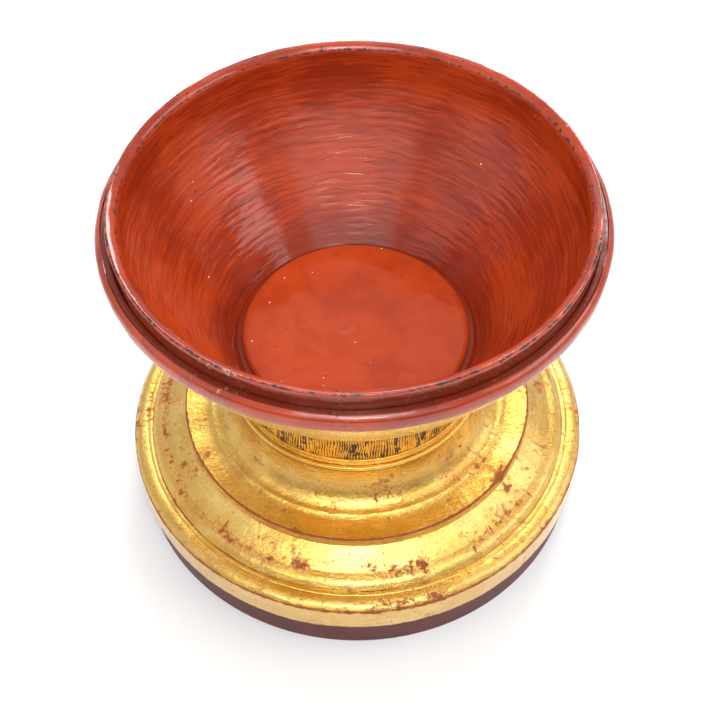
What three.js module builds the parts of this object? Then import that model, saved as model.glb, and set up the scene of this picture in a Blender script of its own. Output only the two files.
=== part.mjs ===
// Footed bowl of coiled-bamboo lacquerware: a flared bowl with a ledge for a lid, on a hollow moulded
// pedestal. Millimetres, +Z up. The origin is on the bowl's axis, in the plane that the foot stands on.
// Every piece is a closed section turned about that axis, and a small joint is left where two touch.
import * as THREE from 'three';

const facets = 28;
const joint = 0.3;

// Foot and fascia
const footRadius = 172;
const footHeight = 26.2;
const footThickness = 9;
const shadowSetIn = 4;
const shadowHeight = 1.4;
const fasciaProud = 3.2;
const fasciaHeight = 21.6;
const fasciaThickness = 5;

// Lower tier, from the fascia inwards and upwards
const ovoloWidth = 11.2;
const ovoloRise = 4.6;
const terraceBeadWidth = 2.8;
const terraceBeadRise = 5.4;
const coveWidth = 4;
const coveRise = 4.3;
const shelfWidth = 7;
const shelfRise = 2;
const slopeWidth = 16.3;
const slopeRise = 9.4;
const riserLean = 0.8;
const riserHeight = 7.4;

// Upper tier, from its sharp edge inwards and upwards
const flangeWidth = 16.8;
const stepWidth = 3.5;
const stepRise = 2.7;
const trumpetWidth = 17.5;
const trumpetRise = 27;
const trumpetSteps = 6;
const groundThickness = 3;

// Neck, from the top of the trumpet
const neckBeadProud = 0.7;
const neckBeadHeight = 3.6;
const filletSetIn = 2.5;
const filletHeight = 6;
const bandSetIn = 1.5;
const bandHeight = 27;
const bandThickness = 4;
const neckHoopThickness = 5;
const neckHoopCount = 3;

// Coil and lining inside the pedestal
const pedestalCoilCount = 10;
const pedestalHoopDepth = 9;
const pedestalLiningThickness = 3;
const liningLift = 1.5;

// Bowl
const boardThickness = 6;
const bowlOverhang = 2.5;
const floorDiscThickness = 4.3;
const floorGroove = 3;
const wallHeight = 115;
const wallFlare = 72;
const wallCurve = 1.2;
const liningThickness = 3;
const bowlHoopThickness = 5.4;
const casingThickness = 3;
const bowlHoopCount = 10;

// Rim
const lipHeight = 27;
const lipThickness = 7.7;
const lipTopFall = 3.9;
const seatWidth = 4;
const seatHeight = 13.4;
const rimBeadWidth = 4.5;
const rimBeadHeight = 14.4;

const lacquerRed = { color: 0xbe4f30, roughness: 0.3, metalness: 0 };
const lacquerBrownRed = { color: 0x7c2f1c, roughness: 0.35, metalness: 0 };
const lacquerMaroon = { color: 0x6f3430, roughness: 0.45, metalness: 0 };
const lacquerDark = { color: 0x2a1712, roughness: 0.5, metalness: 0 };
const goldLeaf = { color: 0xe2b24a, roughness: 0.35, metalness: 0.9 };
const goldOnDark = { color: 0xb98a30, roughness: 0.4, metalness: 0.7 };
const splitBamboo = { color: 0xc9a66b, roughness: 0.7, metalness: 0 };
const plankWood = { color: 0x9a7248, roughness: 0.75, metalness: 0 };

const bowl = new THREE.Group();

// A section is a ring of [radius, height] points. Its outline is put in the order that makes the faces
// point outwards, whichever way round it was written, and closed unless it starts on the axis.
function addTurned(name, section, finish) {
  const area = section.reduce((sum, [r, z], i) => {
    const [nextR, nextZ] = section[(i + 1) % section.length];
    return sum + r * nextZ - nextR * z;
  }, 0);
  if (area < 0) section = [...section].reverse();
  const outline = section.map(([r, z]) => new THREE.Vector2(r, z));
  if (section[0][0] > 0) outline.push(outline[0].clone());
  const geometry = new THREE.LatheGeometry(outline, facets);
  geometry.rotateX(Math.PI / 2);
  const mesh = new THREE.Mesh(geometry, new THREE.MeshStandardMaterial(finish));
  mesh.name = name;
  bowl.add(mesh);
}

function hoopSection(inner, outer, bottom, top) {
  return [[inner, bottom], [outer, bottom], [outer, top], [inner, top]];
}

function discSection(radius, bottom, top) {
  return [[0, bottom], [radius, bottom], [radius, top], [0, top]];
}

function shifted(points, byRadius, byHeight) {
  return points.map(([r, z]) => [r + byRadius, z + byHeight]);
}

function numbered(name, index) {
  return `${name}_${String(index + 1).padStart(2, '0')}`;
}

// Height of a line of [radius, height] points at a radius, level beyond its ends
function heightAt(line, radius) {
  const points = [...line].sort((a, b) => a[0] - b[0]);
  if (radius <= points[0][0]) return points[0][1];
  for (let i = 1; i < points.length; i += 1) {
    const [r0, z0] = points[i - 1];
    const [r1, z1] = points[i];
    if (radius <= r1) return z0 + ((z1 - z0) * (radius - r0)) / (r1 - r0);
  }
  return points[points.length - 1][1];
}

// Radii and levels of the pedestal
const fasciaRadius = footRadius + fasciaProud;
const shadowTop = footHeight + joint + shadowHeight;
const fasciaBottom = shadowTop + joint;
const fasciaTop = fasciaBottom + fasciaHeight;
const borderBottom = fasciaTop + joint;
const ovoloInner = fasciaRadius - ovoloWidth;
const terraceBeadOuter = ovoloInner - joint;
const terraceBeadInner = terraceBeadOuter - terraceBeadWidth;
const terraceOuter = terraceBeadInner - joint;
const coveInner = terraceOuter - coveWidth;
const shelfInner = coveInner - shelfWidth;
const riserRadius = shelfInner - slopeWidth;
const coveFoot = borderBottom + terraceBeadRise + joint;
const shelfOuterHeight = coveFoot + coveRise;
const shelfInnerHeight = shelfOuterHeight + shelfRise;
const terraceTop = shelfInnerHeight + slopeRise;
const riserFoot = terraceTop + joint;
const tierEdgeRadius = riserRadius - riserLean;
const tierTop = riserFoot + riserHeight;
const flangeInner = tierEdgeRadius - flangeWidth;
const trumpetFootRadius = flangeInner - stepWidth;
const trumpetFootHeight = tierTop + stepRise;
const trumpetTopRadius = trumpetFootRadius - trumpetWidth;
const trumpetTop = trumpetFootHeight + trumpetRise;

// Foot
const footInner = footRadius - footThickness;
addTurned('foot_hoop', hoopSection(footInner, footRadius, 0, footHeight), lacquerMaroon);
addTurned('shadow_fillet',
  hoopSection(footInner, footRadius - shadowSetIn, footHeight + joint, shadowTop), lacquerDark);
addTurned('base_fascia',
  hoopSection(fasciaRadius - fasciaThickness, fasciaRadius, fasciaBottom, fasciaTop), goldLeaf);

// Border: a rounded ovolo whose outer corner is the sharp edge over the fascia, and a thin bead inside it
addTurned('border_ovolo', [
  [ovoloInner, borderBottom],
  [fasciaRadius, borderBottom],
  [fasciaRadius - ovoloWidth * 0.2, borderBottom + ovoloRise * 0.6],
  [fasciaRadius - ovoloWidth * 0.5, borderBottom + ovoloRise * 0.95],
  [fasciaRadius - ovoloWidth * 0.75, borderBottom + ovoloRise],
  [ovoloInner, borderBottom + ovoloRise * 0.7],
], goldLeaf);
addTurned('terrace_bead', [
  [terraceBeadInner, borderBottom],
  [terraceBeadOuter, borderBottom],
  [terraceBeadOuter, borderBottom + terraceBeadRise * 0.6],
  [(terraceBeadInner + terraceBeadOuter) / 2, borderBottom + terraceBeadRise],
  [terraceBeadInner, borderBottom + terraceBeadRise * 0.6],
], goldLeaf);

// Lower tier: cove, shelf and slope, ending under the upper tier's riser
const terraceSeat = riserRadius - groundThickness;
const terraceUnderside = [
  [coveInner, borderBottom],
  [shelfInner, shelfInnerHeight - groundThickness],
  [terraceSeat, terraceTop - groundThickness],
];
addTurned('terrace_moulding', [
  [terraceSeat, terraceTop],
  [riserRadius, terraceTop],
  [shelfInner, shelfInnerHeight],
  [coveInner, shelfOuterHeight],
  [terraceOuter, coveFoot],
  [terraceOuter, borderBottom],
  ...terraceUnderside,
], goldLeaf);

// Upper tier: riser, flat flange, a low step and the trumpet's quarter-ellipse sweep up to the neck
const trumpetLine = [[riserRadius, riserFoot], [tierEdgeRadius, tierTop], [flangeInner, tierTop]];
for (let i = 0; i <= trumpetSteps; i += 1) {
  const turn = (Math.PI / 2) * (i / trumpetSteps);
  trumpetLine.push([
    trumpetTopRadius + trumpetWidth * (1 - Math.sin(turn)),
    trumpetTop - trumpetRise * Math.cos(turn),
  ]);
}
const trumpetUnderside = shifted(trumpetLine.slice(1, -1), -groundThickness, -groundThickness);
const riserInner = tierEdgeRadius - groundThickness;
const neckCoreRadius = trumpetTopRadius - groundThickness;
addTurned('trumpet_moulding', [
  ...trumpetLine,
  [neckCoreRadius, trumpetTop],
  ...trumpetUnderside.toReversed(),
  [terraceSeat, riserFoot],
], goldLeaf);

// Neck: bead, plain fillet and reeded band
const beadBottom = trumpetTop + joint;
const beadTop = beadBottom + neckBeadHeight;
const beadOuter = trumpetTopRadius + neckBeadProud;
const filletBottom = beadTop + joint;
const filletTop = filletBottom + filletHeight;
const filletOuter = trumpetTopRadius - filletSetIn;
const bandBottom = filletTop + joint;
const bandTop = bandBottom + bandHeight;
const bandOuter = filletOuter - bandSetIn;
const bandInner = bandOuter - bandThickness;
addTurned('neck_bead', [
  [bandInner, beadBottom],
  [beadOuter - neckBeadHeight * 0.3, beadBottom],
  [beadOuter, beadBottom + neckBeadHeight * 0.35],
  [beadOuter, beadBottom + neckBeadHeight * 0.65],
  [beadOuter - neckBeadHeight * 0.3, beadTop],
  [bandInner, beadTop],
], goldLeaf);
addTurned('neck_fillet', hoopSection(bandInner, filletOuter, filletBottom, filletTop), goldLeaf);
addTurned('reeded_band', hoopSection(bandInner, bandOuter, bandBottom, bandTop), goldOnDark);

// Split-bamboo hoops of the neck, stacked inside its mouldings
const neckHoopOuter = bandInner - joint;
const neckHoopInner = neckHoopOuter - neckHoopThickness;
const neckHoopPitch = (bandTop + joint - beadBottom) / neckHoopCount;
for (let i = 0; i < neckHoopCount; i += 1) {
  const bottom = beadBottom + i * neckHoopPitch;
  addTurned(numbered('neck_hoop', i),
    hoopSection(neckHoopInner, neckHoopOuter, bottom, bottom + neckHoopPitch - joint), splitBamboo);
}

// Coil of the pedestal: one hoop stands on the foot behind the fascia, and inside it concentric hoops
// step up under the mouldings as far as the neck
const coilPitch = (footInner - neckHoopInner) / pedestalCoilCount;
const coilClearance = [];
function undersideAt(radius) {
  if (radius >= coveInner) return borderBottom;
  if (radius > riserInner - joint) return heightAt(terraceUnderside, radius);
  return heightAt([...trumpetUnderside, [neckCoreRadius - groundThickness, trumpetTop]], radius);
}
addTurned(numbered('pedestal_hoop', 0),
  hoopSection(footInner, fasciaRadius - fasciaThickness - joint, shadowTop + joint, fasciaTop),
  splitBamboo);
let coilBottom = fasciaTop - pedestalHoopDepth;
for (let i = 0; i < pedestalCoilCount; i += 1) {
  const outer = footInner - joint - i * coilPitch;
  const inner = outer + joint - coilPitch;
  const top = undersideAt(outer) - joint;
  addTurned(numbered('pedestal_hoop', i + 1), hoopSection(inner, outer, coilBottom, top), splitBamboo);
  coilClearance.push([inner, coilBottom - joint]);
  coilBottom = top - pedestalHoopDepth;
}

// Lining of the hollow: a skirt inside the foot, a dome that clears the inner lower edge of every hoop,
// and a tube inside the neck
const skirtOuter = footInner - joint;
const domeFoot = coilClearance[0][1];
const domeTop = coilClearance[coilClearance.length - 1][1];
const neckTubeOuter = neckHoopInner - joint;
const neckTubeInner = neckTubeOuter - pedestalLiningThickness;
const domeRoof = [[skirtOuter, domeFoot], ...coilClearance, [neckTubeInner, domeTop]];
addTurned('skirt_lining',
  hoopSection(skirtOuter - pedestalLiningThickness, skirtOuter, liningLift,
    domeFoot - pedestalLiningThickness - joint),
  lacquerDark);
addTurned('dome_lining',
  [...domeRoof, ...shifted(domeRoof, 0, -pedestalLiningThickness).toReversed()], lacquerDark);
addTurned('neck_lining', hoopSection(neckTubeInner, neckTubeOuter, domeTop + joint, bandTop), lacquerDark);

// Bowl wall: its outer radius grows with height, fastest at the foot, and every layer keeps to that curve
const bowlFootRadius = bandOuter + bowlOverhang;
const wallBottom = bandTop + joint;
const wallTop = wallBottom + wallHeight;
const boardTop = wallBottom + boardThickness;
const hoopsBottom = boardTop + joint;
const hoopPitch = (wallTop + joint - hoopsBottom) / bowlHoopCount;
const hoopSetIn = casingThickness + joint;
const liningSetIn = hoopSetIn + bowlHoopThickness + joint;
const innerSetIn = liningSetIn + liningThickness;
function wallAt(height, setIn) {
  const left = 1 - (height - wallBottom) / wallHeight;
  return [bowlFootRadius + wallFlare * (1 - Math.max(left, 0) ** wallCurve) - setIn, height];
}
function wallSection(levels, setIn, thickness) {
  const outside = levels.map((height) => wallAt(height, setIn));
  return [...outside, ...shifted(outside, -thickness, 0).toReversed()];
}
const hoopLevels = [];
for (let i = 0; i < bowlHoopCount; i += 1) hoopLevels.push(hoopsBottom + i * hoopPitch);
addTurned('bowl_casing', wallSection([wallBottom, ...hoopLevels, wallTop], 0, casingThickness), goldLeaf);
hoopLevels.forEach((level, i) => {
  const ends = [level, level + hoopPitch - joint];
  addTurned(numbered('bowl_hoop', i), wallSection(ends, hoopSetIn, bowlHoopThickness), splitBamboo);
});
addTurned('bowl_lining', wallSection([...hoopLevels, wallTop], liningSetIn, liningThickness), lacquerRed);

// Bottom: the board that stands on the neck, and the lacquered disc inside, with a groove round it
const boardRadius = bowlFootRadius - casingThickness - joint;
const discRadius = wallAt(hoopsBottom, innerSetIn)[0] - floorGroove;
addTurned('bowl_base_board', discSection(boardRadius, wallBottom, boardTop), plankWood);
addTurned('bowl_floor_disc',
  discSection(discRadius, hoopsBottom, hoopsBottom + floorDiscThickness), lacquerRed);

// Rim: the upright lip, the strip that makes the lid's ledge, and the half-round bead outside it
const rimBottom = wallTop + joint;
const lipInner = wallAt(wallTop, innerSetIn)[0];
const lipOuter = lipInner + lipThickness;
const lipTop = rimBottom + lipHeight;
addTurned('rim_lip_hoop', [
  [lipInner, rimBottom],
  [lipOuter, rimBottom],
  [lipOuter, lipTop],
  [lipInner, lipTop - lipTopFall],
], lacquerRed);
const seatInner = lipOuter + joint;
const seatOuter = seatInner + seatWidth;
addTurned('lid_seat_hoop', hoopSection(seatInner, seatOuter, rimBottom, rimBottom + seatHeight),
  lacquerBrownRed);
const beadInner = seatOuter + joint;
addTurned('rim_bead_hoop', [
  [beadInner, rimBottom],
  [beadInner + rimBeadWidth * 0.7, rimBottom + rimBeadHeight * 0.12],
  [beadInner + rimBeadWidth, rimBottom + rimBeadHeight * 0.4],
  [beadInner + rimBeadWidth, rimBottom + rimBeadHeight * 0.65],
  [beadInner + rimBeadWidth * 0.7, rimBottom + rimBeadHeight * 0.9],
  [beadInner, rimBottom + rimBeadHeight],
], lacquerRed);

export default bowl;
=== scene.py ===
import bpy
import bmesh
import math
import random
from mathutils import Matrix, Quaternion, Vector, noise


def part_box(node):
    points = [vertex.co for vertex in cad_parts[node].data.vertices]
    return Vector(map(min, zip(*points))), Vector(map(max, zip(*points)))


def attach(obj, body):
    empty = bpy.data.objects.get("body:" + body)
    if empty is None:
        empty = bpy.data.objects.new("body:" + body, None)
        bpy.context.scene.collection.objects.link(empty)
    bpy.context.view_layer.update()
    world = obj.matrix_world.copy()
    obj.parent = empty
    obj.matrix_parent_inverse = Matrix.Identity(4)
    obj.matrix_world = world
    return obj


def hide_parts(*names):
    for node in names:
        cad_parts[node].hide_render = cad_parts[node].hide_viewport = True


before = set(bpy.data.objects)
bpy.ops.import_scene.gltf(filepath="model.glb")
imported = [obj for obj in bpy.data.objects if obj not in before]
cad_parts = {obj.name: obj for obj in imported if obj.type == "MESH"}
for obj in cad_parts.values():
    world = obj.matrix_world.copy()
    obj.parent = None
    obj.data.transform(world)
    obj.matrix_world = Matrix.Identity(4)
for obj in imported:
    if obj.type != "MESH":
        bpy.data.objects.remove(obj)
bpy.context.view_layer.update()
print("frame loaded:", len(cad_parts), "nodes")


# Camera: distance and height are taken from the middle of the rim bead
cameraSettings = {"distance": 0.85, "elevation": 45.3, "aim": (0.0027, 0.0, 0.1178), "roll": -0.75,
                  "lens": 64.18, "sensor": 36.0}


def makeCamera(s):
    beadLow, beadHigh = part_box("rim_bead_hoop")
    pivot = beadLow.z + (beadHigh.z - beadLow.z) * 0.55
    tilt = math.radians(s["elevation"])
    eye = Vector((0, -s["distance"] * math.cos(tilt), pivot + s["distance"] * math.sin(tilt)))
    data = bpy.data.cameras.new("studioCamera")
    data.lens, data.sensor_width = s["lens"], s["sensor"]
    camera = bpy.data.objects.new("studioCamera", data)
    camera.rotation_mode = "QUATERNION"
    camera.location = eye
    look = (Vector(s["aim"]) - eye).to_track_quat("-Z", "Y")
    camera.rotation_quaternion = look @ Quaternion((0, 0, 1), math.radians(s["roll"]))
    bpy.context.collection.objects.link(camera)
    bpy.context.scene.camera = camera


makeCamera(cameraSettings)


# Short hands for building a material's nodes
def startMaterial(name):
    material = bpy.data.materials.new(name)
    material.use_nodes = True
    return material, material.node_tree.nodes["Principled BSDF"]


def put(material, kind, sockets=None, **settings):
    made = material.node_tree.nodes.new(kind)
    for key, value in settings.items():
        setattr(made, key, value)
    for key, value in (sockets or {}).items():
        feed(material, made.inputs[key], value)
    return made


def feed(material, socket, value):
    if isinstance(value, bpy.types.NodeSocket):
        material.node_tree.links.new(value, socket)
    else:
        socket.default_value = value


def calc(material, operation, first, second=0.0, clamp=False):
    return put(material, "ShaderNodeMath", {0: first, 1: second}, operation=operation,
               use_clamp=clamp).outputs[0]


def ramp(material, value, low, high, start=0.0, end=1.0):
    return put(material, "ShaderNodeMapRange", {0: value, 1: low, 2: high, 3: start, 4: end},
               interpolation_type="SMOOTHSTEP").outputs[0]


def blendColor(material, share, first, second, mode="MIX"):
    mixed = put(material, "ShaderNodeMix", {0: share, 6: first, 7: second}, data_type="RGBA",
                blend_type=mode)
    return mixed.outputs[2]


def place(material):
    return put(material, "ShaderNodeTexCoord").outputs["Object"]


def stretch(material, vector, by):
    return put(material, "ShaderNodeMapping", {"Vector": vector, "Scale": by}).outputs[0]


def reading(material, name):
    return put(material, "ShaderNodeAttribute", attribute_name=name).outputs["Fac"]


def cloud(material, vector, scale, detail=2.0, roughness=0.5):
    return put(material, "ShaderNodeTexNoise", {"Vector": vector, "Scale": scale, "Detail": detail,
               "Roughness": roughness}).outputs[0]


# Noise drawn out along the turning direction: it changes fast along the section and slowly round it
def turning(material, around, across, detail=3.0):
    flat = stretch(material, place(material), (around, around, around * 0.2))
    run = calc(material, "MULTIPLY", reading(material, "along"), across)
    return put(material, "ShaderNodeTexNoise", {"Vector": flat, "W": run, "Scale": 1.0,
               "Detail": detail}, noise_dimensions="4D").outputs[0]


def cells(material, vector, scale, feature="F1", randomness=1.0):
    return put(material, "ShaderNodeTexVoronoi", {"Vector": vector, "Scale": scale,
               "Randomness": randomness}, feature=feature)


def warped(material, vector, scale, amount):
    shake = put(material, "ShaderNodeTexNoise", {"Vector": vector, "Scale": scale, "Detail": 3.0})
    centred = put(material, "ShaderNodeVectorMath", {0: shake.outputs["Color"], 1: (0.5, 0.5, 0.5)},
                  operation="SUBTRACT").outputs[0]
    sized = put(material, "ShaderNodeVectorMath", {0: centred, "Scale": amount},
                operation="SCALE").outputs[0]
    return put(material, "ShaderNodeVectorMath", {0: vector, 1: sized}, operation="ADD").outputs[0]


def raised(material, height, distance, strength=1.0, under=None):
    sockets = {"Height": height, "Distance": distance, "Strength": strength}
    if under is not None:
        sockets["Normal"] = under
    return put(material, "ShaderNodeBump", sockets).outputs[0]


# Gold leaf: square leaves laid over red-brown lacquer, rubbed through in strokes, smudges and along edges
goldSettings = {"gold": (0.87, 0.59, 0.155, 1), "deepGold": (0.76, 0.44, 0.075, 1),
                "paleGold": (0.92, 0.73, 0.37, 1), "stain": (0.58, 0.25, 0.035, 1),
                "ground": (0.42, 0.125, 0.032, 1), "darkGround": (0.26, 0.055, 0.015, 1),
                "leafCount": 22, "leafHeight": 0.05, "roughness": 0.17, "specular": 0.2,
                "coat": 0.8, "coatRoughness": 0.2, "dentScale": 60, "dentDepth": 0.0018,
                "wrinkleScale": 330, "wrinkleDepth": 0.0009, "brushDepth": 0.0003}


# Thin broken strokes: the contour of a noise, shown only where a second noise lets it through
def strokes(m, here, scale, thickness, share):
    crooked = warped(m, here, scale * 2.5, 0.25 / scale)
    contour = calc(m, "ABSOLUTE", calc(m, "SUBTRACT", cloud(m, crooked, scale, 2.5, 0.6), 0.5))
    line = ramp(m, contour, thickness, thickness * 0.3)
    return calc(m, "MULTIPLY", line, ramp(m, cloud(m, here, scale * 1.4, 2), share, share + 0.07))


# rubbed: how much ground shows; brushed, pale, matt: the leaf's own look; amberShade: painted shade, a
# deeper gold for pieces that lie in shade;
# zone: radius, half width and strength of a ring that is rubbed more
def goldLeaf(name, rubbed=1.0, brushed=0.3, pale=0.0, zone=None, amberShade=0.0, matt=0.0):
    s = goldSettings
    m, shader = startMaterial(name)
    here = place(m)
    along = reading(m, "along")
    wear = reading(m, "wear")
    axes = put(m, "ShaderNodeSeparateXYZ", {0: here})
    turn = calc(m, "DIVIDE", calc(m, "ARCTAN2", axes.outputs[1], axes.outputs[0]), 2 * math.pi)
    wavyAlong = calc(m, "ADD", along, calc(m, "MULTIPLY", cloud(m, here, 30, 2), 0.008))
    row = calc(m, "FLOOR", calc(m, "DIVIDE", wavyAlong, s["leafHeight"]))
    column = calc(m, "ADD", calc(m, "MULTIPLY", turn, s["leafCount"]), calc(m, "MULTIPLY", row, 0.37))
    column = calc(m, "ADD", column, calc(m, "MULTIPLY", cloud(m, here, 45, 3), 0.12))
    leaf = calc(m, "FLOORED_MODULO", calc(m, "FLOOR", column), s["leafCount"])
    leafTone = put(m, "ShaderNodeTexWhiteNoise", {"Vector": put(m, "ShaderNodeCombineXYZ",
                   {0: leaf, 1: row}).outputs[0]}).outputs["Value"]
    fromSeam = calc(m, "ABSOLUTE", calc(m, "SUBTRACT", calc(m, "FRACT", column), 0.5))
    seam = calc(m, "MULTIPLY", ramp(m, fromSeam, 0.480, 0.496),
                ramp(m, cloud(m, here, 130, 3), 0.40, 0.62))
    streaks = turning(m, 22, 900)
    mottle = cloud(m, here, s["dentScale"], 5, 0.6)
    tone = calc(m, "ADD", calc(m, "MULTIPLY", leafTone, 0.30), calc(m, "MULTIPLY", mottle, 0.70))
    # painted shade: amberShade shifts the tone towards the deeper gold
    gold = blendColor(m, ramp(m, tone, 0.3 + amberShade, 0.7 + amberShade), s["deepGold"], s["gold"])
    gold = blendColor(m, calc(m, "MULTIPLY", ramp(m, streaks, 0.45, 0.75), 0.3 + pale), gold,
                      s["paleGold"])
    stained = calc(m, "ADD", cloud(m, here, 24, 4, 0.6), calc(m, "MULTIPLY", wear, 0.12))
    stained = ramp(m, stained, 0.50, 0.70)
    gold = blendColor(m, calc(m, "MULTIPLY", stained, 0.55 * rubbed), gold, s["stain"])
    lines = calc(m, "MAXIMUM", strokes(m, here, 24, 0.010, 0.58),
                 strokes(m, stretch(m, here, (1, 1.6, 0.8)), 62, 0.05, 0.58))
    # smudges: fine speckle that thickens in broad patches, in rubbed zones and at worn edges
    grain = cloud(m, warped(m, stretch(m, here, (1, 1, 1.5)), 90, 0.008), 210, 7, 0.80)
    lines = calc(m, "MULTIPLY", lines, ramp(m, grain, 0.40, 0.56))
    broad = ramp(m, cloud(m, here, 34, 4, 0.68), 0.50, 0.74)
    worn = calc(m, "ADD", calc(m, "MULTIPLY", broad, 0.25 * rubbed), calc(m, "MULTIPLY", wear, 0.42))
    if zone:
        radius = put(m, "ShaderNodeVectorMath", {0: stretch(m, here, (1, 1, 0))},
                     operation="LENGTH").outputs["Value"]
        off = calc(m, "ABSOLUTE", calc(m, "SUBTRACT", radius, zone[0]))
        ragged = ramp(m, cloud(m, here, 18, 3), 0.36, 0.62)
        gold = blendColor(m, calc(m, "MULTIPLY", ramp(m, off, zone[1] * 1.1, zone[1] * 0.3),
                                  ramp(m, mottle, 0.35, 0.60, 0.05, 0.32)), gold, s["stain"])
        worn = calc(m, "ADD", worn, calc(m, "MULTIPLY", ramp(m, off, zone[1], 0.0),
                                         calc(m, "MULTIPLY", ragged, zone[2])))
    worn = calc(m, "ADD", worn, calc(m, "MULTIPLY", seam, 0.14))
    smudge = ramp(m, calc(m, "ADD", grain, worn), 0.61, 0.77, 0.0, 0.95)
    bare = calc(m, "MAXIMUM", calc(m, "MULTIPLY", lines, 0.75 * rubbed), smudge, clamp=True)
    under = blendColor(m, ramp(m, bare, 0.5, 1.0), s["ground"], s["darkGround"])
    feed(m, shader.inputs["Base Color"], blendColor(m, bare, gold, under))
    feed(m, shader.inputs["Metallic"], calc(m, "SUBTRACT", 1.0 - matt, bare, clamp=True))
    rough = calc(m, "ADD", s["roughness"], calc(m, "MULTIPLY", mottle, 0.16))
    feed(m, shader.inputs["Roughness"], calc(m, "ADD", rough, calc(m, "MULTIPLY", bare, 0.25)))
    whole = calc(m, "SUBTRACT", 1.0, bare, clamp=True)
    feed(m, shader.inputs["Coat Weight"], calc(m, "MULTIPLY", whole, s["coat"] - amberShade * 2))
    shader.inputs["Coat Roughness"].default_value = s["coatRoughness"]
    shader.inputs["Specular IOR Level"].default_value = s["specular"]
    relief = raised(m, streaks, s["brushDepth"] * (0.5 + brushed), 0.6)
    relief = raised(m, mottle, s["dentDepth"], 0.5, relief)
    relief = raised(m, cloud(m, here, s["wrinkleScale"], 5, 0.7), s["wrinkleDepth"], 0.6, relief)
    relief = raised(m, calc(m, "SUBTRACT", 1.0, bare), 0.00008, 0.6, relief)
    feed(m, shader.inputs["Normal"], relief)
    return m


# Lacquer over coiled bamboo: glossy red with slow colour drift, wavy turning marks and a few pinholes
lacquerSettings = {"red": (0.49, 0.057, 0.010, 1), "deep": (0.31, 0.028, 0.006, 1),
                   "dark": (0.17, 0.012, 0.004, 1), "speck": (0.95, 0.80, 0.70, 1),
                   "pinhole": (0.02, 0.01, 0.01, 1),
                   "roughness": 0.08, "lines": 430, "creases": 150, "lineDepth": 0.00011,
                   "creaseDepth": 0.00011, "cornerShadeRise": 0.026}


def scatter(m, here, scale, size, share):
    spots = cells(m, here, scale)
    chosen = put(m, "ShaderNodeSeparateXYZ", {0: spots.outputs["Color"]}).outputs[0]
    return calc(m, "MULTIPLY", ramp(m, spots.outputs["Distance"], size, size * 0.6),
                calc(m, "GREATER_THAN", chosen, 1 - share))


# marks: strength of the turning marks; lean: how far the shading faces upwards; calm: evens the colour;
# corner: height of the floor corner, towards which the wall is darkened as painted shade
def redLacquer(name, marks=1.0, specks=0.06, lean=0.0, paintedLight=1.0, calm=0.0, corner=0.0):
    s = lacquerSettings
    m, shader = startMaterial(name)
    here = place(m)
    drift = cloud(m, here, 14, 4, 0.55)
    bent = calc(m, "ADD", reading(m, "along"), calc(m, "MULTIPLY", cloud(m, here, 26, 2), 0.010))
    flat = stretch(m, here, (34, 34, 6))
    lines = put(m, "ShaderNodeTexNoise", {"Vector": flat, "W": calc(m, "MULTIPLY", bent, s["lines"]),
                "Scale": 1.0, "Detail": 5.0, "Roughness": 0.62}, noise_dimensions="4D").outputs[0]
    thread = put(m, "ShaderNodeTexNoise", {"Vector": stretch(m, here, (8, 8, 2)),
                 "W": calc(m, "MULTIPLY", bent, s["creases"]), "Scale": 1.0, "Detail": 3.0},
                 noise_dimensions="4D").outputs[0]
    apart = calc(m, "ABSOLUTE", calc(m, "SUBTRACT", thread, 0.5))
    crease = calc(m, "MULTIPLY", ramp(m, apart, 0.030, 0.004),
                  ramp(m, cloud(m, here, 30, 3), 0.40, 0.60, 0.15, marks))
    tone = calc(m, "ADD", calc(m, "MULTIPLY", drift, 0.5), calc(m, "MULTIPLY", lines, 0.5))
    # painted light: paintedLight scales the red and deep colours up for a surface that takes more light
    red = [channel * paintedLight for channel in s["red"][:3]] + [1]
    deep = [channel * paintedLight * (1 - calm) + calm * full for channel, full in zip(s["deep"][:3], red)] + [1]
    color = blendColor(m, ramp(m, tone, 0.40, 0.57), deep, red)
    rise = put(m, "ShaderNodeSeparateXYZ", {0: here}).outputs[2]
    # painted shade: the wall darkens towards the floor corner, fading out over cornerShadeRise above it
    cornerShade = calc(m, "MULTIPLY", ramp(m, rise, corner + s["cornerShadeRise"], corner), 0.6)
    color = blendColor(m, cornerShade, color, s["dark"])
    color = blendColor(m, calc(m, "MULTIPLY", crease, 0.45), color, s["dark"])
    color = blendColor(m, scatter(m, here, 140, 0.10, specks * 0.7), color, s["pinhole"])
    color = blendColor(m, scatter(m, here, 95, 0.075, specks), color, s["speck"])
    feed(m, shader.inputs["Base Color"], color)
    feed(m, shader.inputs["Roughness"], calc(m, "ADD", s["roughness"], calc(m, "MULTIPLY", lines, 0.05)))
    # the coils are laid slightly stepped, each one facing a little more upwards than the wall
    relief = raised(m, calc(m, "MULTIPLY", rise, -1.0), lean)
    relief = raised(m, lines, s["lineDepth"] * marks, 0.6, relief)
    relief = raised(m, calc(m, "SUBTRACT", 1.0, crease), s["creaseDepth"], 0.7, relief)
    relief = raised(m, cloud(m, here, 70, 3, 0.5), 0.0003, 0.35, relief)
    relief = raised(m, cloud(m, here, 500, 2, 0.5), 0.00004, 0.5, relief)
    feed(m, shader.inputs["Normal"], relief)
    return m


# Rim lacquer: the same red, scuffed pale, worn to pale putty in patches and chipped grey-black at its edges
rimSettings = {"red": (0.47, 0.052, 0.013, 1), "deep": (0.30, 0.028, 0.007, 1),
               "brown": (0.15, 0.020, 0.008, 1), "scuff": (0.70, 0.27, 0.17, 1),
               "putty": (0.62, 0.44, 0.30, 1), "chip": (0.030, 0.026, 0.024, 1), "roughness": 0.13}
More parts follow.
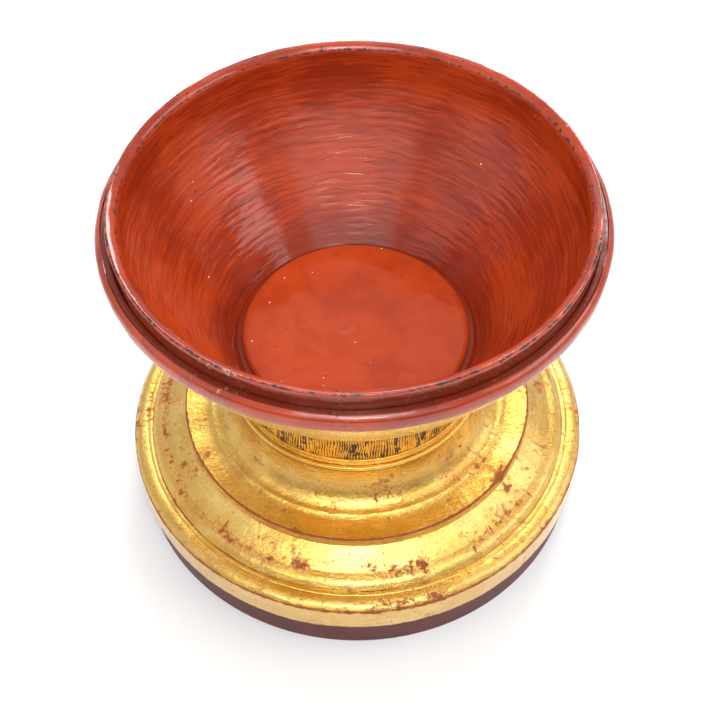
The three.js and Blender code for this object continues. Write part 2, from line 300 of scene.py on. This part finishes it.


# dark: share of the deeper red; wall: radius and height below which an outer face is darkened to brown,
# painted shade in the cove under the lip
def rimLacquer(name, scuffed=1.0, dark=0.0, wall=None, gloss=0.5):
    s = rimSettings
    m, shader = startMaterial(name)
    here = place(m)
    wear = reading(m, "wear")
    drift = cloud(m, here, 22, 4, 0.6)
    color = blendColor(m, ramp(m, drift, 0.35 + dark, 0.65 + dark), s["deep"], s["red"])
    # painted shade: the outer face in the cove under the lip is darkened to brown
    if wall:
        axes = put(m, "ShaderNodeSeparateXYZ", {0: here})
        radius = put(m, "ShaderNodeVectorMath", {0: stretch(m, here, (1, 1, 0))},
                     operation="LENGTH").outputs["Value"]
        coveShade = calc(m, "MULTIPLY", ramp(m, radius, wall[0] - 0.0012, wall[0] - 0.0002),
                     ramp(m, axes.outputs[2], wall[1], wall[1] - 0.003))
        color = blendColor(m, calc(m, "MULTIPLY", coveShade, 0.85), color, s["brown"])
    fine = cloud(m, here, 330, 5, 0.65)
    soft = ramp(m, cloud(m, here, 40, 3, 0.6), 0.42, 0.66)
    scuffs = ramp(m, calc(m, "ADD", fine, calc(m, "ADD", calc(m, "MULTIPLY", wear, 0.10),
                                               calc(m, "MULTIPLY", soft, 0.10))), 0.60, 0.80)
    color = blendColor(m, calc(m, "MULTIPLY", scuffs, 0.35 * scuffed), color, s["scuff"])
    patch = calc(m, "ADD", cloud(m, warped(m, here, 80, 0.01), 26, 5, 0.7),
                 calc(m, "MULTIPLY", wear, 0.05))
    patch = calc(m, "MULTIPLY", ramp(m, patch, 0.665, 0.71), 0.8 * min(1.0, scuffed * 1.5))
    color = blendColor(m, patch, color, s["putty"])
    chipShape = calc(m, "ADD", cloud(m, warped(m, here, 60, 0.004), 210, 3, 0.6),
                     calc(m, "MULTIPLY", wear, 0.19))
    chips = ramp(m, chipShape, 0.675, 0.70)
    feed(m, shader.inputs["Base Color"], blendColor(m, chips, color, s["chip"]))
    rough = calc(m, "ADD", s["roughness"], calc(m, "MULTIPLY", scuffs, 0.15))
    feed(m, shader.inputs["Roughness"], rough)
    shader.inputs["Specular IOR Level"].default_value = gloss
    relief = raised(m, turning(m, 26, 500, 4), 0.00014, 0.6)
    relief = raised(m, cloud(m, here, 120, 3, 0.55), 0.0003, 0.5, relief)
    relief = raised(m, calc(m, "SUBTRACT", 1.0, chips), 0.0003, 0.8, relief)
    feed(m, shader.inputs["Normal"], relief)
    return m


def plainLacquer(name, color, deep, roughness, gloss=0.5):
    m, shader = startMaterial(name)
    here = place(m)
    drift = cloud(m, here, 30, 4, 0.6)
    lines = turning(m, 14, 700, 3)
    feed(m, shader.inputs["Base Color"], blendColor(m, ramp(m, drift, 0.35, 0.65), deep, color))
    feed(m, shader.inputs["Roughness"], calc(m, "ADD", roughness, calc(m, "MULTIPLY", drift, 0.18)))
    feed(m, shader.inputs["Normal"], raised(m, lines, 0.0004, 0.5))
    shader.inputs["Specular IOR Level"].default_value = gloss
    return m


# Reeded band: gold on the raised reeds, black-brown in the gaps
reliefSettings = {"gold": (0.80, 0.48, 0.10, 1), "gap": (0.055, 0.022, 0.008, 1)}


def giltRelief(name):
    s = reliefSettings
    m, shader = startMaterial(name)
    here = place(m)
    lift = calc(m, "ADD", reading(m, "lift"), calc(m, "MULTIPLY", cloud(m, here, 520, 4, 0.75), 1.0))
    gilt = ramp(m, lift, 0.70, 0.92)
    feed(m, shader.inputs["Base Color"], blendColor(m, gilt, s["gap"], s["gold"]))
    feed(m, shader.inputs["Metallic"], gilt)
    feed(m, shader.inputs["Roughness"], calc(m, "SUBTRACT", 0.6, calc(m, "MULTIPLY", gilt, 0.3)))
    feed(m, shader.inputs["Normal"], raised(m, cloud(m, here, 260, 4, 0.6), 0.001, 0.5))
    return m


# Split bamboo: long fibres round each hoop; and the sawn bottom board
bambooSettings = {"light": (0.60, 0.40, 0.17, 1), "dark": (0.36, 0.21, 0.08, 1)}


def bamboo(name):
    s = bambooSettings
    m, shader = startMaterial(name)
    here = place(m)
    fibre = cloud(m, stretch(m, here, (12, 12, 900)), 1.0, 4, 0.6)
    feed(m, shader.inputs["Base Color"], blendColor(m, ramp(m, fibre, 0.3, 0.7), s["dark"], s["light"]))
    feed(m, shader.inputs["Roughness"], calc(m, "ADD", 0.5, calc(m, "MULTIPLY", fibre, 0.25)))
    feed(m, shader.inputs["Normal"], raised(m, fibre, 0.0004, 0.6))
    return m


boardSettings = {"light": (0.30, 0.16, 0.07, 1), "dark": (0.14, 0.065, 0.028, 1)}


def boardWood(name):
    s = boardSettings
    m, shader = startMaterial(name)
    here = warped(m, place(m), 9, 0.02)
    grain = cloud(m, stretch(m, here, (260, 14, 260)), 1.0, 4, 0.6)
    feed(m, shader.inputs["Base Color"], blendColor(m, ramp(m, grain, 0.3, 0.7), s["dark"], s["light"]))
    feed(m, shader.inputs["Roughness"], calc(m, "ADD", 0.55, calc(m, "MULTIPLY", grain, 0.2)))
    feed(m, shader.inputs["Normal"], raised(m, grain, 0.0005, 0.6))
    return m


finishes = {
    "lining": redLacquer("red lacquer over coils", 1.0, 0.09, lean=0.13, corner=0.158),
    # floor: paintedLight gives a brighter red, painted light for the upward-facing floor
    "disc": redLacquer("red lacquer floor", 0.25, 0.3, paintedLight=1.17, calm=0.55),
    # lip and ledge: the brown in the cove is painted shade; the ledge's deeper red is partly its own
    # lacquer and partly painted shade
    "rim": rimLacquer("worn rim lacquer", 0.6, wall=(0.1609, 0.2875), gloss=0.6),
    "bead": rimLacquer("worn bead lacquer", 0.5, gloss=0.7),
    "ledge": rimLacquer("dark ledge lacquer", 0.5, 0.6, (0.1600, 0.2900)),
    "gold": goldLeaf("rubbed gold leaf"),
    # upper tier and neck: amberShade deepens the gold as painted shade under the bowl
    "upperGold": goldLeaf("amber gold leaf", 1.1, amberShade=0.08),
    "neckGold": goldLeaf("neck gold leaf", 0.6, 0.8, amberShade=0.14),
    "tierGold": goldLeaf("tier gold leaf", zone=(0.151, 0.009, 0.20)),
    "borderGold": goldLeaf("border gold leaf", 1.15, zone=(0.172, 0.004, 0.07)),
    "brushedGold": goldLeaf("brushed gold leaf", 0.6, 1.0, 0.3, amberShade=0.05),
    "wallGold": goldLeaf("pale wall gold leaf", 0.7, 1.3, 1.4, matt=0.4),
    "relief": giltRelief("gilded reeds"),
    "maroon": plainLacquer("maroon lacquer", (0.125, 0.022, 0.018, 1), (0.085, 0.014, 0.012, 1),
                           0.36, 0.3),
    "dark": plainLacquer("dark lacquer", (0.030, 0.012, 0.008, 1), (0.018, 0.007, 0.005, 1), 0.42),
    "bamboo": bamboo("split bamboo"),
    "board": boardWood("sawn board"),
}
print("finishes ready:", len(finishes))


# Turned pieces. An outline corner is (radius, height, rounding, wear), in metres; wear marks its edge.
# Below the level height a piece stays true, so that the foot stands flat.
turnSettings = {"steps": 192, "longest": 0.0025, "wearReach": 0.0013, "sharpAngle": 0.7, "level": 0.003}


def outlineMesh(corners, longest):
    bm = bmesh.new()
    loop = [bm.verts.new((corner[0], 0, corner[1])) for corner in corners]
    for first, second in zip(loop, loop[1:]):
        bm.edges.new((first, second))
    if corners[0][0] > 0:
        bm.edges.new((loop[-1], loop[0]))
    for vert, corner in zip(loop, corners):
        if corner[2]:
            bmesh.ops.bevel(bm, geom=[vert], offset=corner[2], offset_type="OFFSET", segments=4,
                            profile=0.5, affect="VERTICES", material=-1)
    for edge in list(bm.edges):
        cuts = int(edge.calc_length() / longest)
        if cuts:
            bmesh.ops.subdivide_edges(bm, edges=[edge], cuts=cuts)
    return bm


# Walks the outline from its first corner and writes each point's distance along it and its wear
def markOutline(bm, corners, reach):
    along = bm.verts.layers.float.new("along")
    wear = bm.verts.layers.float.new("wear")
    start = min(bm.verts, key=lambda v: (v.co - Vector((corners[0][0], 0, corners[0][1]))).length)
    seen, current, run = {start}, start, 0.0
    while current:
        current[along] = run
        strengths = [c[3] * math.exp(-((current.co - Vector((c[0], 0, c[1]))).length / reach) ** 2)
                     for c in corners if len(c) > 3]
        current[wear] = max(strengths, default=0.0)
        ahead = [e.other_vert(current) for e in current.link_edges if e.other_vert(current) not in seen]
        if ahead:
            ahead = ahead[:1] if len(seen) > 1 else [min(ahead, key=lambda v: abs(
                (v.co - Vector((corners[1][0], 0, corners[1][1]))).length))]
            run += (ahead[0].co - current.co).length
            seen.add(ahead[0])
            current = ahead[0]
        else:
            current = None


# Spins one sixteenth of the turn, then doubles it round four times
def spinOutline(bm, steps):
    sector = math.pi / 8
    bmesh.ops.spin(bm, geom=list(bm.verts) + list(bm.edges), cent=(0, 0, 0), axis=(0, 0, 1),
                   angle=sector, steps=max(1, steps // 16), use_merge=False)
    for doubling in range(4):
        copied = bmesh.ops.duplicate(bm, geom=list(bm.verts) + list(bm.edges) + list(bm.faces))
        moved = [part for part in copied["geom"] if isinstance(part, bmesh.types.BMVert)]
        bmesh.ops.rotate(bm, cent=(0, 0, 0), verts=moved,
                         matrix=Matrix.Rotation(sector * 2 ** doubling, 3, "Z"))
    bmesh.ops.remove_doubles(bm, verts=list(bm.verts), dist=1e-5)
    bmesh.ops.recalc_face_normals(bm, faces=list(bm.faces))


# Hand-made unevenness: one slow warp shared by every piece, so that neighbours still meet
warpSettings = {"sideways": 0.0005, "upward": 0.0004, "turns": 1.3}


def warpShared(co):
    angle = math.atan2(co.y, co.x)
    spot = Vector((math.cos(angle), math.sin(angle), co.z * 4)) * warpSettings["turns"]
    share = min(1.0, max(0.0, co.z / 0.25))
    flat = Vector((co.x, co.y, 0))
    share *= min(1.0, flat.length / 0.09)
    out = noise.noise(spot) * warpSettings["sideways"] * (0.4 + share)
    up = noise.noise(spot + Vector((7.1, 3.3, 1.9))) * warpSettings["upward"] * share
    if flat.length > 1e-6:
        co += flat.normalized() * out
    co.z += up


# lumps: size, depth and seed of each unevenness; second: a finish for the faces marked 1
def finishPiece(bm, name, node, finish, lumps, second):
    for vert in bm.verts:
        push = 0.0
        for size, depth, seed in lumps:
            push += noise.noise(vert.co / size + Vector((seed, seed * 1.7, seed * 0.3))) * depth
        if vert.co.z > turnSettings["level"]:
            vert.co += vert.normal * push
            warpShared(vert.co)
    for edge in bm.edges:
        if len(edge.link_faces) == 2 and edge.calc_face_angle(0) > turnSettings["sharpAngle"]:
            edge.smooth = False
    for face in bm.faces:
        face.smooth = True
    mesh = bpy.data.meshes.new(name)
    bm.to_mesh(mesh)
    bm.free()
    mesh.materials.append(finishes[finish])
    if second:
        mesh.materials.append(finishes[second])
    piece = bpy.data.objects.new(name, mesh)
    bpy.context.collection.objects.link(piece)
    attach(piece, "root")
    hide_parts(node)
    print("made", name, len(mesh.polygons))
    return piece


def turnPiece(name, node, corners, finish, lumps=(), longest=None, steps=None, shape=None,
              second=None):
    bm = outlineMesh(corners, longest or turnSettings["longest"])
    markOutline(bm, corners, turnSettings["wearReach"])
    spinOutline(bm, steps or turnSettings["steps"])
    bm.normal_update()
    if shape:
        shape(bm)
        bm.normal_update()
    return finishPiece(bm, name, node, finish, lumps, second)


# The radius, foot and top of a CAD ring
def ring(node):
    low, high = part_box(node)
    return high.x, low.z, high.z


joint = 0.0003  # gap left between neighbouring pieces

# Bowl wall: outside and inside follow the CAD wall's curve
wallSettings = {"curve": 1.2, "innerCurve": 1.25, "casing": 0.003, "inside": 0.012, "lining": 0.003}
wallTopRadius, wallFoot, wallTop = ring("bowl_casing")
boardRadius, boardFoot, boardTop = ring("bowl_base_board")
wallFootRadius = boardRadius + joint + wallSettings["casing"]


def wallRadius(height, setIn, curve):
    left = max(0.0, 1 - (height - wallFoot) / (wallTop - wallFoot))
    return wallFootRadius + (wallTopRadius - wallFootRadius) * (1 - left ** curve) - setIn


def wallCorners(bottom, top, setIn, count, curve=wallSettings["curve"]):
    heights = [bottom + (top - bottom) * i / count for i in range(count + 1)]
    return [(wallRadius(height, setIn, curve), height, 0) for height in heights]


slantRun = 1.18  # distance along the slanting wall for each unit of height

# Coil ridges inside: each turn of bamboo strip swells a little, wanders and fades as it goes round
ridgeSettings = {"pitch": 0.0056, "depth": 0.00026, "wander": 0.0042, "rows": 80, "seed": 11}


def addRidges(bm):
    s = ridgeSettings
    along = bm.verts.layers.float["along"]
    random.seed(s["seed"])
    swells = [0.25 + random.random() for row in range(s["rows"])]
    for vert in bm.verts:
        vert[along] = vert.co.z * slantRun
        inward = Vector((vert.co.x, vert.co.y, 0))
        if vert.normal.dot(inward) > 0 or vert.co.z > wallTop + 0.0002 or vert.co.z < boardTop + 0.001:
            continue
        angle = math.atan2(vert.co.y, vert.co.x)
        around = Vector((math.cos(angle), math.sin(angle), 0))
        spot = around * 2.2 + Vector((0, 0, vert.co.z * 22))
        row = (vert.co.z * slantRun + noise.noise(spot) * s["wander"]) / s["pitch"]
        local = row - int(row)
        shape = abs(math.sin(math.pi * local)) ** 0.7 * swells[int(row) % s["rows"]]
        fade = 0.5 + 0.8 * noise.noise(around * 3.5 + Vector((5, 2, vert.co.z * 45)))
        fine = noise.noise(around * 16 + Vector((0, 0, vert.co.z * 500)))
        calm = min(1.0, 0.3 + (vert.co.z - boardTop) / 0.05)
        vert.co += vert.normal * (shape * max(0.0, fade) + 0.40 * fine - 0.3) * s["depth"] * calm


# The lip's inner face carries the wall's own finish on upwards
def levelAlong(bm):
    along = bm.verts.layers.float["along"]
    for vert in bm.verts:
        vert[along] = vert.co.z * slantRun
    for face in bm.faces:
        flat = Vector((face.normal.x, face.normal.y, 0))
        middle = face.calc_center_median()
        if flat.dot(Vector((middle.x, middle.y, 0)).normalized()) < -0.85:
            face.material_index = 1


def makeBowlWall():
    s = wallSettings
    bottom = boardTop + joint
    hidden = wallCorners(wallTop + joint, bottom, s["inside"] - s["lining"], 8)
    shown = wallCorners(bottom, wallTop + joint, s["inside"], 60, s["innerCurve"])
    turnPiece("bowlLining", "bowl_lining", hidden + shown, "lining",
              [(0.03, 0.0004, 2)], 0.0011, 320, addRidges)
    inner = wallCorners(wallTop, wallFoot, s["casing"], 6)
    outer = wallCorners(wallFoot, wallTop, 0, 24)
    turnPiece("bowlCasing", "bowl_casing", inner + outer, "wallGold",
              [(0.02, 0.0003, 5)], 0.004)


# The floor has no turning marks, so its distance layer is cleared
def unmarked(bm):
    along = bm.verts.layers.float["along"]
    for vert in bm.verts:
        vert[along] = 0.0


# The board's upper face shows in the groove round the floor, where the lacquer runs over it
def lacquerTop(bm):
    for face in bm.faces:
        face.material_index = 1 if face.normal.z > 0.5 else 0


def makeBottom():
    discRadius, discFoot, discTop = ring("bowl_floor_disc")
    turnPiece("floorDisc", "bowl_floor_disc",
              [(0, discFoot, 0), (discRadius, discFoot, 0), (discRadius, discTop, 0.0036), (0, discTop, 0)],
              "disc", [(0.03, 0.0006, 3), (0.008, 0.0001, 4)], shape=unmarked)
    turnPiece("baseBoard", "bowl_base_board",
              [(0, boardTop, 0), (boardRadius, boardTop, 0), (boardRadius, boardFoot, 0.0005),
               (0, boardFoot, 0)],
              "board", [(0.02, 0.0002, 6)], 0.006, 96, lacquerTop, "lining")


# Rim: lip, ledge strip and bead
rimSizes = {"lipWidth": 0.0077, "lipFall": 0.0039, "seatWidth": 0.004, "beadWidth": 0.0045}


def makeRim():
    s = rimSizes
    lipOuter, lipFoot, lipTop = ring("rim_lip_hoop")
    lipInner = lipOuter - s["lipWidth"]
    turnPiece("rimLip", "rim_lip_hoop",
              [(lipInner, lipFoot, 0), (lipOuter, lipFoot, 0), (lipOuter, lipTop, 0.0018, 1.5),
               (lipOuter - s["lipWidth"] * 0.42, lipTop - s["lipFall"] * 0.25, 0.002),
               (lipInner, lipTop - s["lipFall"], 0.003, 1.7)],
              "rim", [(0.018, 0.0005, 7), (0.006, 0.00012, 8)], 0.0018, 256, levelAlong,
              "lining")
    seatOuter, seatFoot, seatTop = ring("lid_seat_hoop")
    turnPiece("lidLedge", "lid_seat_hoop",
              [(seatOuter - s["seatWidth"], seatFoot, 0), (seatOuter, seatFoot, 0),
               (seatOuter, seatTop, 0.0004), (seatOuter - s["seatWidth"], seatTop, 0.0003)],
              "ledge", [(0.02, 0.0002, 9)], 0.0018, 256)
    beadOuter, beadFoot, beadTop = ring("rim_bead_hoop")
    width, height = s["beadWidth"], beadTop - beadFoot
    inner = beadOuter - width
    turnPiece("rimBead", "rim_bead_hoop",
              [(inner, beadFoot, 0), (inner + width * 0.7, beadFoot + height * 0.12, 0.001, 0.9),
               (beadOuter, beadFoot + height * 0.45, 0.004),
               (inner + width * 0.8, beadTop - height * 0.12, 0.003), (inner, beadTop, 0.0006)],
              "bead", [(0.016, 0.0004, 10), (0.006, 0.0001, 12)], 0.0018, 256)


makeBowlWall()
makeBottom()
makeRim()
print("bowl made")


# Neck: reeded band, plain fillet and bead
neckSizes = {"bandThickness": 0.004, "reeds": 290, "reedDepth": 0.0009, "seed": 21}


def addReeds(bm):
    s = neckSizes
    lift = bm.verts.layers.float.new("lift")
    outer, foot, top = ring("reeded_band")
    random.seed(s["seed"])
    # strength and start of each reed; the third draw only keeps the order of the draws
    reeds = [(0.35 + 0.65 * random.random(), 0.1 + 0.5 * random.random(), random.random())
             for reed in range(s["reeds"])]
    for vert in bm.verts:
        flat = Vector((vert.co.x, vert.co.y, 0))
        if flat.length < outer - 0.002:
            continue
        angle = (math.atan2(vert.co.y, vert.co.x) / (2 * math.pi)) % 1.0
        wobble = noise.noise(vert.co * 110) * 0.7 + noise.noise(vert.co * 24) * 1.5
        row = angle * s["reeds"] + wobble
        strength, start = reeds[int(row) % s["reeds"]][:2]
        height = (vert.co.z - foot) / (top - foot)
        crest = abs(math.sin(math.pi * (row % 1.0))) ** 1.3
        patch = noise.noise(vert.co * 260 + Vector((3, 5, 7))) * 0.50 + noise.noise(vert.co * 60) * 0.28
        level = crest * strength + patch + (0.30 if height > 0.9 - start * 0.1 else 0.0)
        level = max(0.0, min(1.0, level))
        vert[lift] = level
        vert.co += flat.normalized() * (level - 1.0) * s["reedDepth"]


def makeNeck():
    s = neckSizes
    bandOuter, bandFoot, bandTop = ring("reeded_band")
    bandInner = bandOuter - s["bandThickness"]
    turnPiece("reededBand", "reeded_band",
              [(bandInner, bandTop, 0), (bandInner, bandFoot, 0), (bandOuter, bandFoot, 0),
               (bandOuter, bandTop, 0)], "relief", (), 0.0015, 1840, addReeds)
    filletOuter, filletFoot, filletTop = ring("neck_fillet")
    turnPiece("neckFillet", "neck_fillet",
              [(bandInner, filletTop, 0), (bandInner, filletFoot, 0), (filletOuter, filletFoot, 0.0008),
               (filletOuter - 0.0006, filletTop - 0.0022, 0.0015), (filletOuter, filletTop, 0.0009, 0.2)],
              "neckGold", [(0.015, 0.0002, 13)], 0.0012)
    beadOuter, beadFoot, beadTop = ring("neck_bead")
    height = beadTop - beadFoot
    turnPiece("neckBead", "neck_bead",
              [(bandInner, beadTop, 0), (bandInner, beadFoot, 0),
               (beadOuter - height * 0.2, beadFoot, 0.0008, 0.5),
               (beadOuter, beadFoot + height * 0.5, 0.0012),
               (beadOuter - height * 0.3, beadTop, 0.0008)],
              "neckGold", [(0.015, 0.0002, 14)], 0.0012)


makeNeck()
print("neck made")


# Pedestal: upper tier, lower tier, border and foot, each a skin of ground over the coil
tierSizes = {"ground": 0.003, "flange": 0.0168, "step": 0.0035, "stepRise": 0.0019, "riserLean": 0.0008,
             "slope": 0.0163, "shelf": 0.007, "shelfRise": 0.002, "slopeRise": 0.0094, "cove": 0.004,
             "coveFall": 0.0043, "edgeRise": 0.0068, "neckSetIn": 0.0007, "beadWidth": 0.0032,
             "beadOut": 0.0004, "ovolo": 0.0112, "fasciaThickness": 0.005, "footThickness": 0.009,
             "lining": 0.003}


def makeUpperTier():
    s = tierSizes
    riser, low, top = ring("trumpet_moulding")
    neck = ring("neck_bead")[0] - s["neckSetIn"]
    edge = riser - s["riserLean"]
    edgeTop = ring("terrace_moulding")[2] + joint + s["edgeRise"]
    flange = edge - s["flange"]
    sweepFoot = flange - s["step"]
    sweepLow = edgeTop + s["stepRise"]
    shown = [(riser, low, 0), (edge, edgeTop, 0.0005, 1.0), (flange, edgeTop, 0.0032)]
    count = 24
    for i in range(count + 1):
        turn = math.pi / 2 * i / count
        shown.append((neck + (sweepFoot - neck) * (1 - math.sin(turn)),
                      top - (top - sweepLow) * math.cos(turn), 0 if i else 0.003))
    ground = s["ground"]
    hidden = [(neck - ground, top, 0)]
    hidden += [(r - ground, z - ground, 0) for r, z, *rest in reversed(shown[1:-1:3])]
    hidden.append((riser - ground, low, 0))
    turnPiece("trumpetMoulding", "trumpet_moulding", hidden[-1:] + shown + hidden[:-1], "upperGold",
              [(0.022, 0.0005, 15), (0.008, 0.00015, 16)], 0.0016, 256)


def makeLowerTier():
    s = tierSizes
    outer, low, top = ring("terrace_moulding")
    cove = outer - s["cove"]
    shelf = cove - s["shelf"]
    riser = shelf - s["slope"]
    shelfIn = top - s["slopeRise"]
    shelfOut = shelfIn - s["shelfRise"]
    coveFoot = shelfOut - s["coveFall"]
    ground = s["ground"]
    turnPiece("terraceMoulding", "terrace_moulding",
              [(riser - ground, top - ground, 0), (riser - ground, top, 0), (riser, top, 0),
               (riser + s["slope"] * 0.45, shelfIn + s["slopeRise"] * 0.48, 0.012),
               (shelf, shelfIn, 0.004), (cove, shelfOut, 0.002), (outer, coveFoot, 0.0005),
               (outer, low, 0), (cove, low, 0), (shelf, shelfIn - ground, 0)],
              "tierGold", [(0.022, 0.0005, 17), (0.008, 0.00015, 18)], 0.0016, 256)
    beadOuter, beadFoot, beadTop = ring("terrace_bead")
    inner = beadOuter - s["beadWidth"]
    turnPiece("terraceBead", "terrace_bead",
              [(inner, beadFoot, 0), (beadOuter + s["beadOut"], beadFoot, 0),
               (beadOuter + s["beadOut"], beadTop - 0.0010, 0.0006),
               (beadOuter - 0.0014, beadTop - 0.0005, 0.0012), (inner, beadTop - 0.0008, 0.0008)],
              "gold", [(0.02, 0.0002, 19)], 0.0012, 256)


def makeBorder():
    s = tierSizes
    outer, low, top = ring("border_ovolo")
    width, rise = s["ovolo"], top - low
    inner = outer - width
    turnPiece("borderOvolo", "border_ovolo",
              [(inner, low, 0), (outer, low, 0.0005, 1.0), (outer - width * 0.2, low + rise * 0.6, 0.002),
               (outer - width * 0.5, low + rise * 0.95, 0.002), (outer - width * 0.75, top, 0.002),
               (inner, low + rise * 0.93, 0.0006)],
              "borderGold", [(0.02, 0.0004, 20), (0.008, 0.00012, 22)], 0.0014, 256)
    outer, low, top = ring("base_fascia")
    turnPiece("baseFascia", "base_fascia",
              [(outer - s["fasciaThickness"], top, 0), (outer - s["fasciaThickness"], low, 0),
               (outer, low, 0.0008, 0.8), (outer, top, 0.0006, 0.6)],
              "brushedGold", [(0.02, 0.0003, 23), (0.008, 0.0001, 24)], 0.0018, 256)


def makeFoot():
    s = tierSizes
    inner = ring("foot_hoop")[0] - s["footThickness"]
    outer, low, top = ring("shadow_fillet")
    # the recessed strip between the gilded band and the foot is near-black lacquer: painted shade in the
    # recess
    turnPiece("shadowFillet", "shadow_fillet",
              [(inner, top, 0), (inner, low, 0), (outer, low, 0), (outer, top, 0)], "dark")
    outer, low, top = ring("foot_hoop")
    turnPiece("footHoop", "foot_hoop",
              [(inner, top, 0), (inner, low, 0.001), (outer, low, 0.0015), (outer, top, 0.0012)],
              "maroon", [(0.02, 0.0003, 25)], 0.002, 256)


def makeLinings():
    outer, low, top = ring("skirt_lining")
    inner = outer - tierSizes["lining"]
    turnPiece("skirtLining", "skirt_lining",
              [(outer, low, 0.0008), (outer, top, 0), (inner, top, 0), (inner, low, 0.0008)],
              "dark", [(0.02, 0.0004, 26)], 0.003)
    outer, low, top = ring("neck_lining")
    inner = outer - tierSizes["lining"]
    turnPiece("neckLining", "neck_lining",
              [(outer, low, 0), (outer, top, 0), (inner, top, 0), (inner, low, 0)],
              "dark", [(0.02, 0.0004, 27)], 0.003)


makeUpperTier()
makeLowerTier()
makeBorder()
makeFoot()
makeLinings()
print("pedestal made")

for nodeName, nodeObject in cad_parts.items():
    if "_hoop_" in nodeName:
        nodeObject.data.materials.clear()
        nodeObject.data.materials.append(finishes["bamboo"])
    if nodeName == "dome_lining":
        nodeObject.data.materials.clear()
        nodeObject.data.materials.append(finishes["dark"])
print("hidden pieces finished")


# Studio: white sweep, and soft panels of light given by where they hang round the bowl.
# around: degrees from the front towards +X; width: half width; low, high: degrees above the floor
studioSettings = {"floorSize": 6.0, "floorColor": (0.87, 0.875, 0.89, 1), "air": 0.62}
panelSettings = [
    {"around": 0, "width": 36, "low": 27, "high": 72, "soft": 6, "power": 0.85},
    {"around": 0, "width": 26, "low": 43, "high": 60, "soft": 3, "power": 2.2},
    {"around": 2, "width": 11, "low": 50, "high": 57, "soft": 2, "power": 13.0},
    {"around": 0, "width": 34, "low": 61, "high": 73, "soft": 3, "power": 5.0},
    {"around": 86, "width": 26, "low": 24, "high": 48, "soft": 1.5, "power": 2.3},
    {"around": -76, "width": 26, "low": 16, "high": 50, "soft": 9, "power": 0.4},
    {"around": 167, "width": 15, "low": 27, "high": 43, "soft": 2, "power": 12.0},
    {"around": -160, "width": 20, "low": 28, "high": 42, "soft": 4, "power": 1.5},
    {"around": 180, "width": 80, "low": 64, "high": 88, "soft": 4, "power": 1.0},
    {"around": 0, "width": 60, "low": -20, "high": 22, "soft": 6, "power": -0.50},
    {"around": 180, "width": 75, "low": 46, "high": 60, "soft": 4, "power": -0.08},
]


def panelLight(w, direction, elevation, p):
    turn = math.radians(p["around"])
    aim = (math.sin(turn), -math.cos(turn), 0)
    flat = put(w, "ShaderNodeVectorMath", {0: stretch(w, direction, (1, 1, 0))}, operation="NORMALIZE")
    facing = put(w, "ShaderNodeVectorMath", {0: flat.outputs[0], 1: aim}, operation="DOT_PRODUCT")
    apart = calc(w, "DEGREES", calc(w, "ARCCOSINE", facing.outputs["Value"]))
    soft = p["soft"]
    across = ramp(w, apart, p["width"] + soft, p["width"] - soft)
    rising = ramp(w, elevation, p["low"] - soft, p["low"] + soft)
    falling = ramp(w, elevation, p["high"] + soft, p["high"] - soft)
    return calc(w, "MULTIPLY", calc(w, "MULTIPLY", across, rising),
                calc(w, "MULTIPLY", falling, p["power"]))


def makeStudio():
    s = studioSettings
    bm = bmesh.new()
    bmesh.ops.create_grid(bm, x_segments=1, y_segments=1, size=s["floorSize"] / 2)
    mesh = bpy.data.meshes.new("studioFloor")
    bm.to_mesh(mesh)
    bm.free()
    m, shader = startMaterial("white sweep")
    speck = cloud(m, place(m), 40, 2)
    pale = [channel * 0.99 for channel in s["floorColor"][:3]] + [1]
    feed(m, shader.inputs["Base Color"], blendColor(m, speck, s["floorColor"], pale))
    shader.inputs["Roughness"].default_value = 0.6
    mesh.materials.append(m)
    floor = bpy.data.objects.new("studioFloor", mesh)
    bpy.context.collection.objects.link(floor)
    w = bpy.data.worlds.new("studioAir")
    w.use_nodes = True
    direction = put(w, "ShaderNodeTexCoord").outputs["Generated"]
    height = put(w, "ShaderNodeSeparateXYZ", {0: direction}).outputs[2]
    elevation = calc(w, "DEGREES", calc(w, "ARCSINE", height))
    total = s["air"]
    for panel in panelSettings:
        total = calc(w, "ADD", panelLight(w, direction, elevation, panel), total)
    feed(w, w.node_tree.nodes["Background"].inputs["Strength"], total)
    w.node_tree.nodes["Background"].inputs["Color"].default_value = (1, 1, 1, 1)
    bpy.context.scene.world = w
    bpy.context.scene.view_settings.view_transform = "Standard"


makeStudio()
print("studio ready")
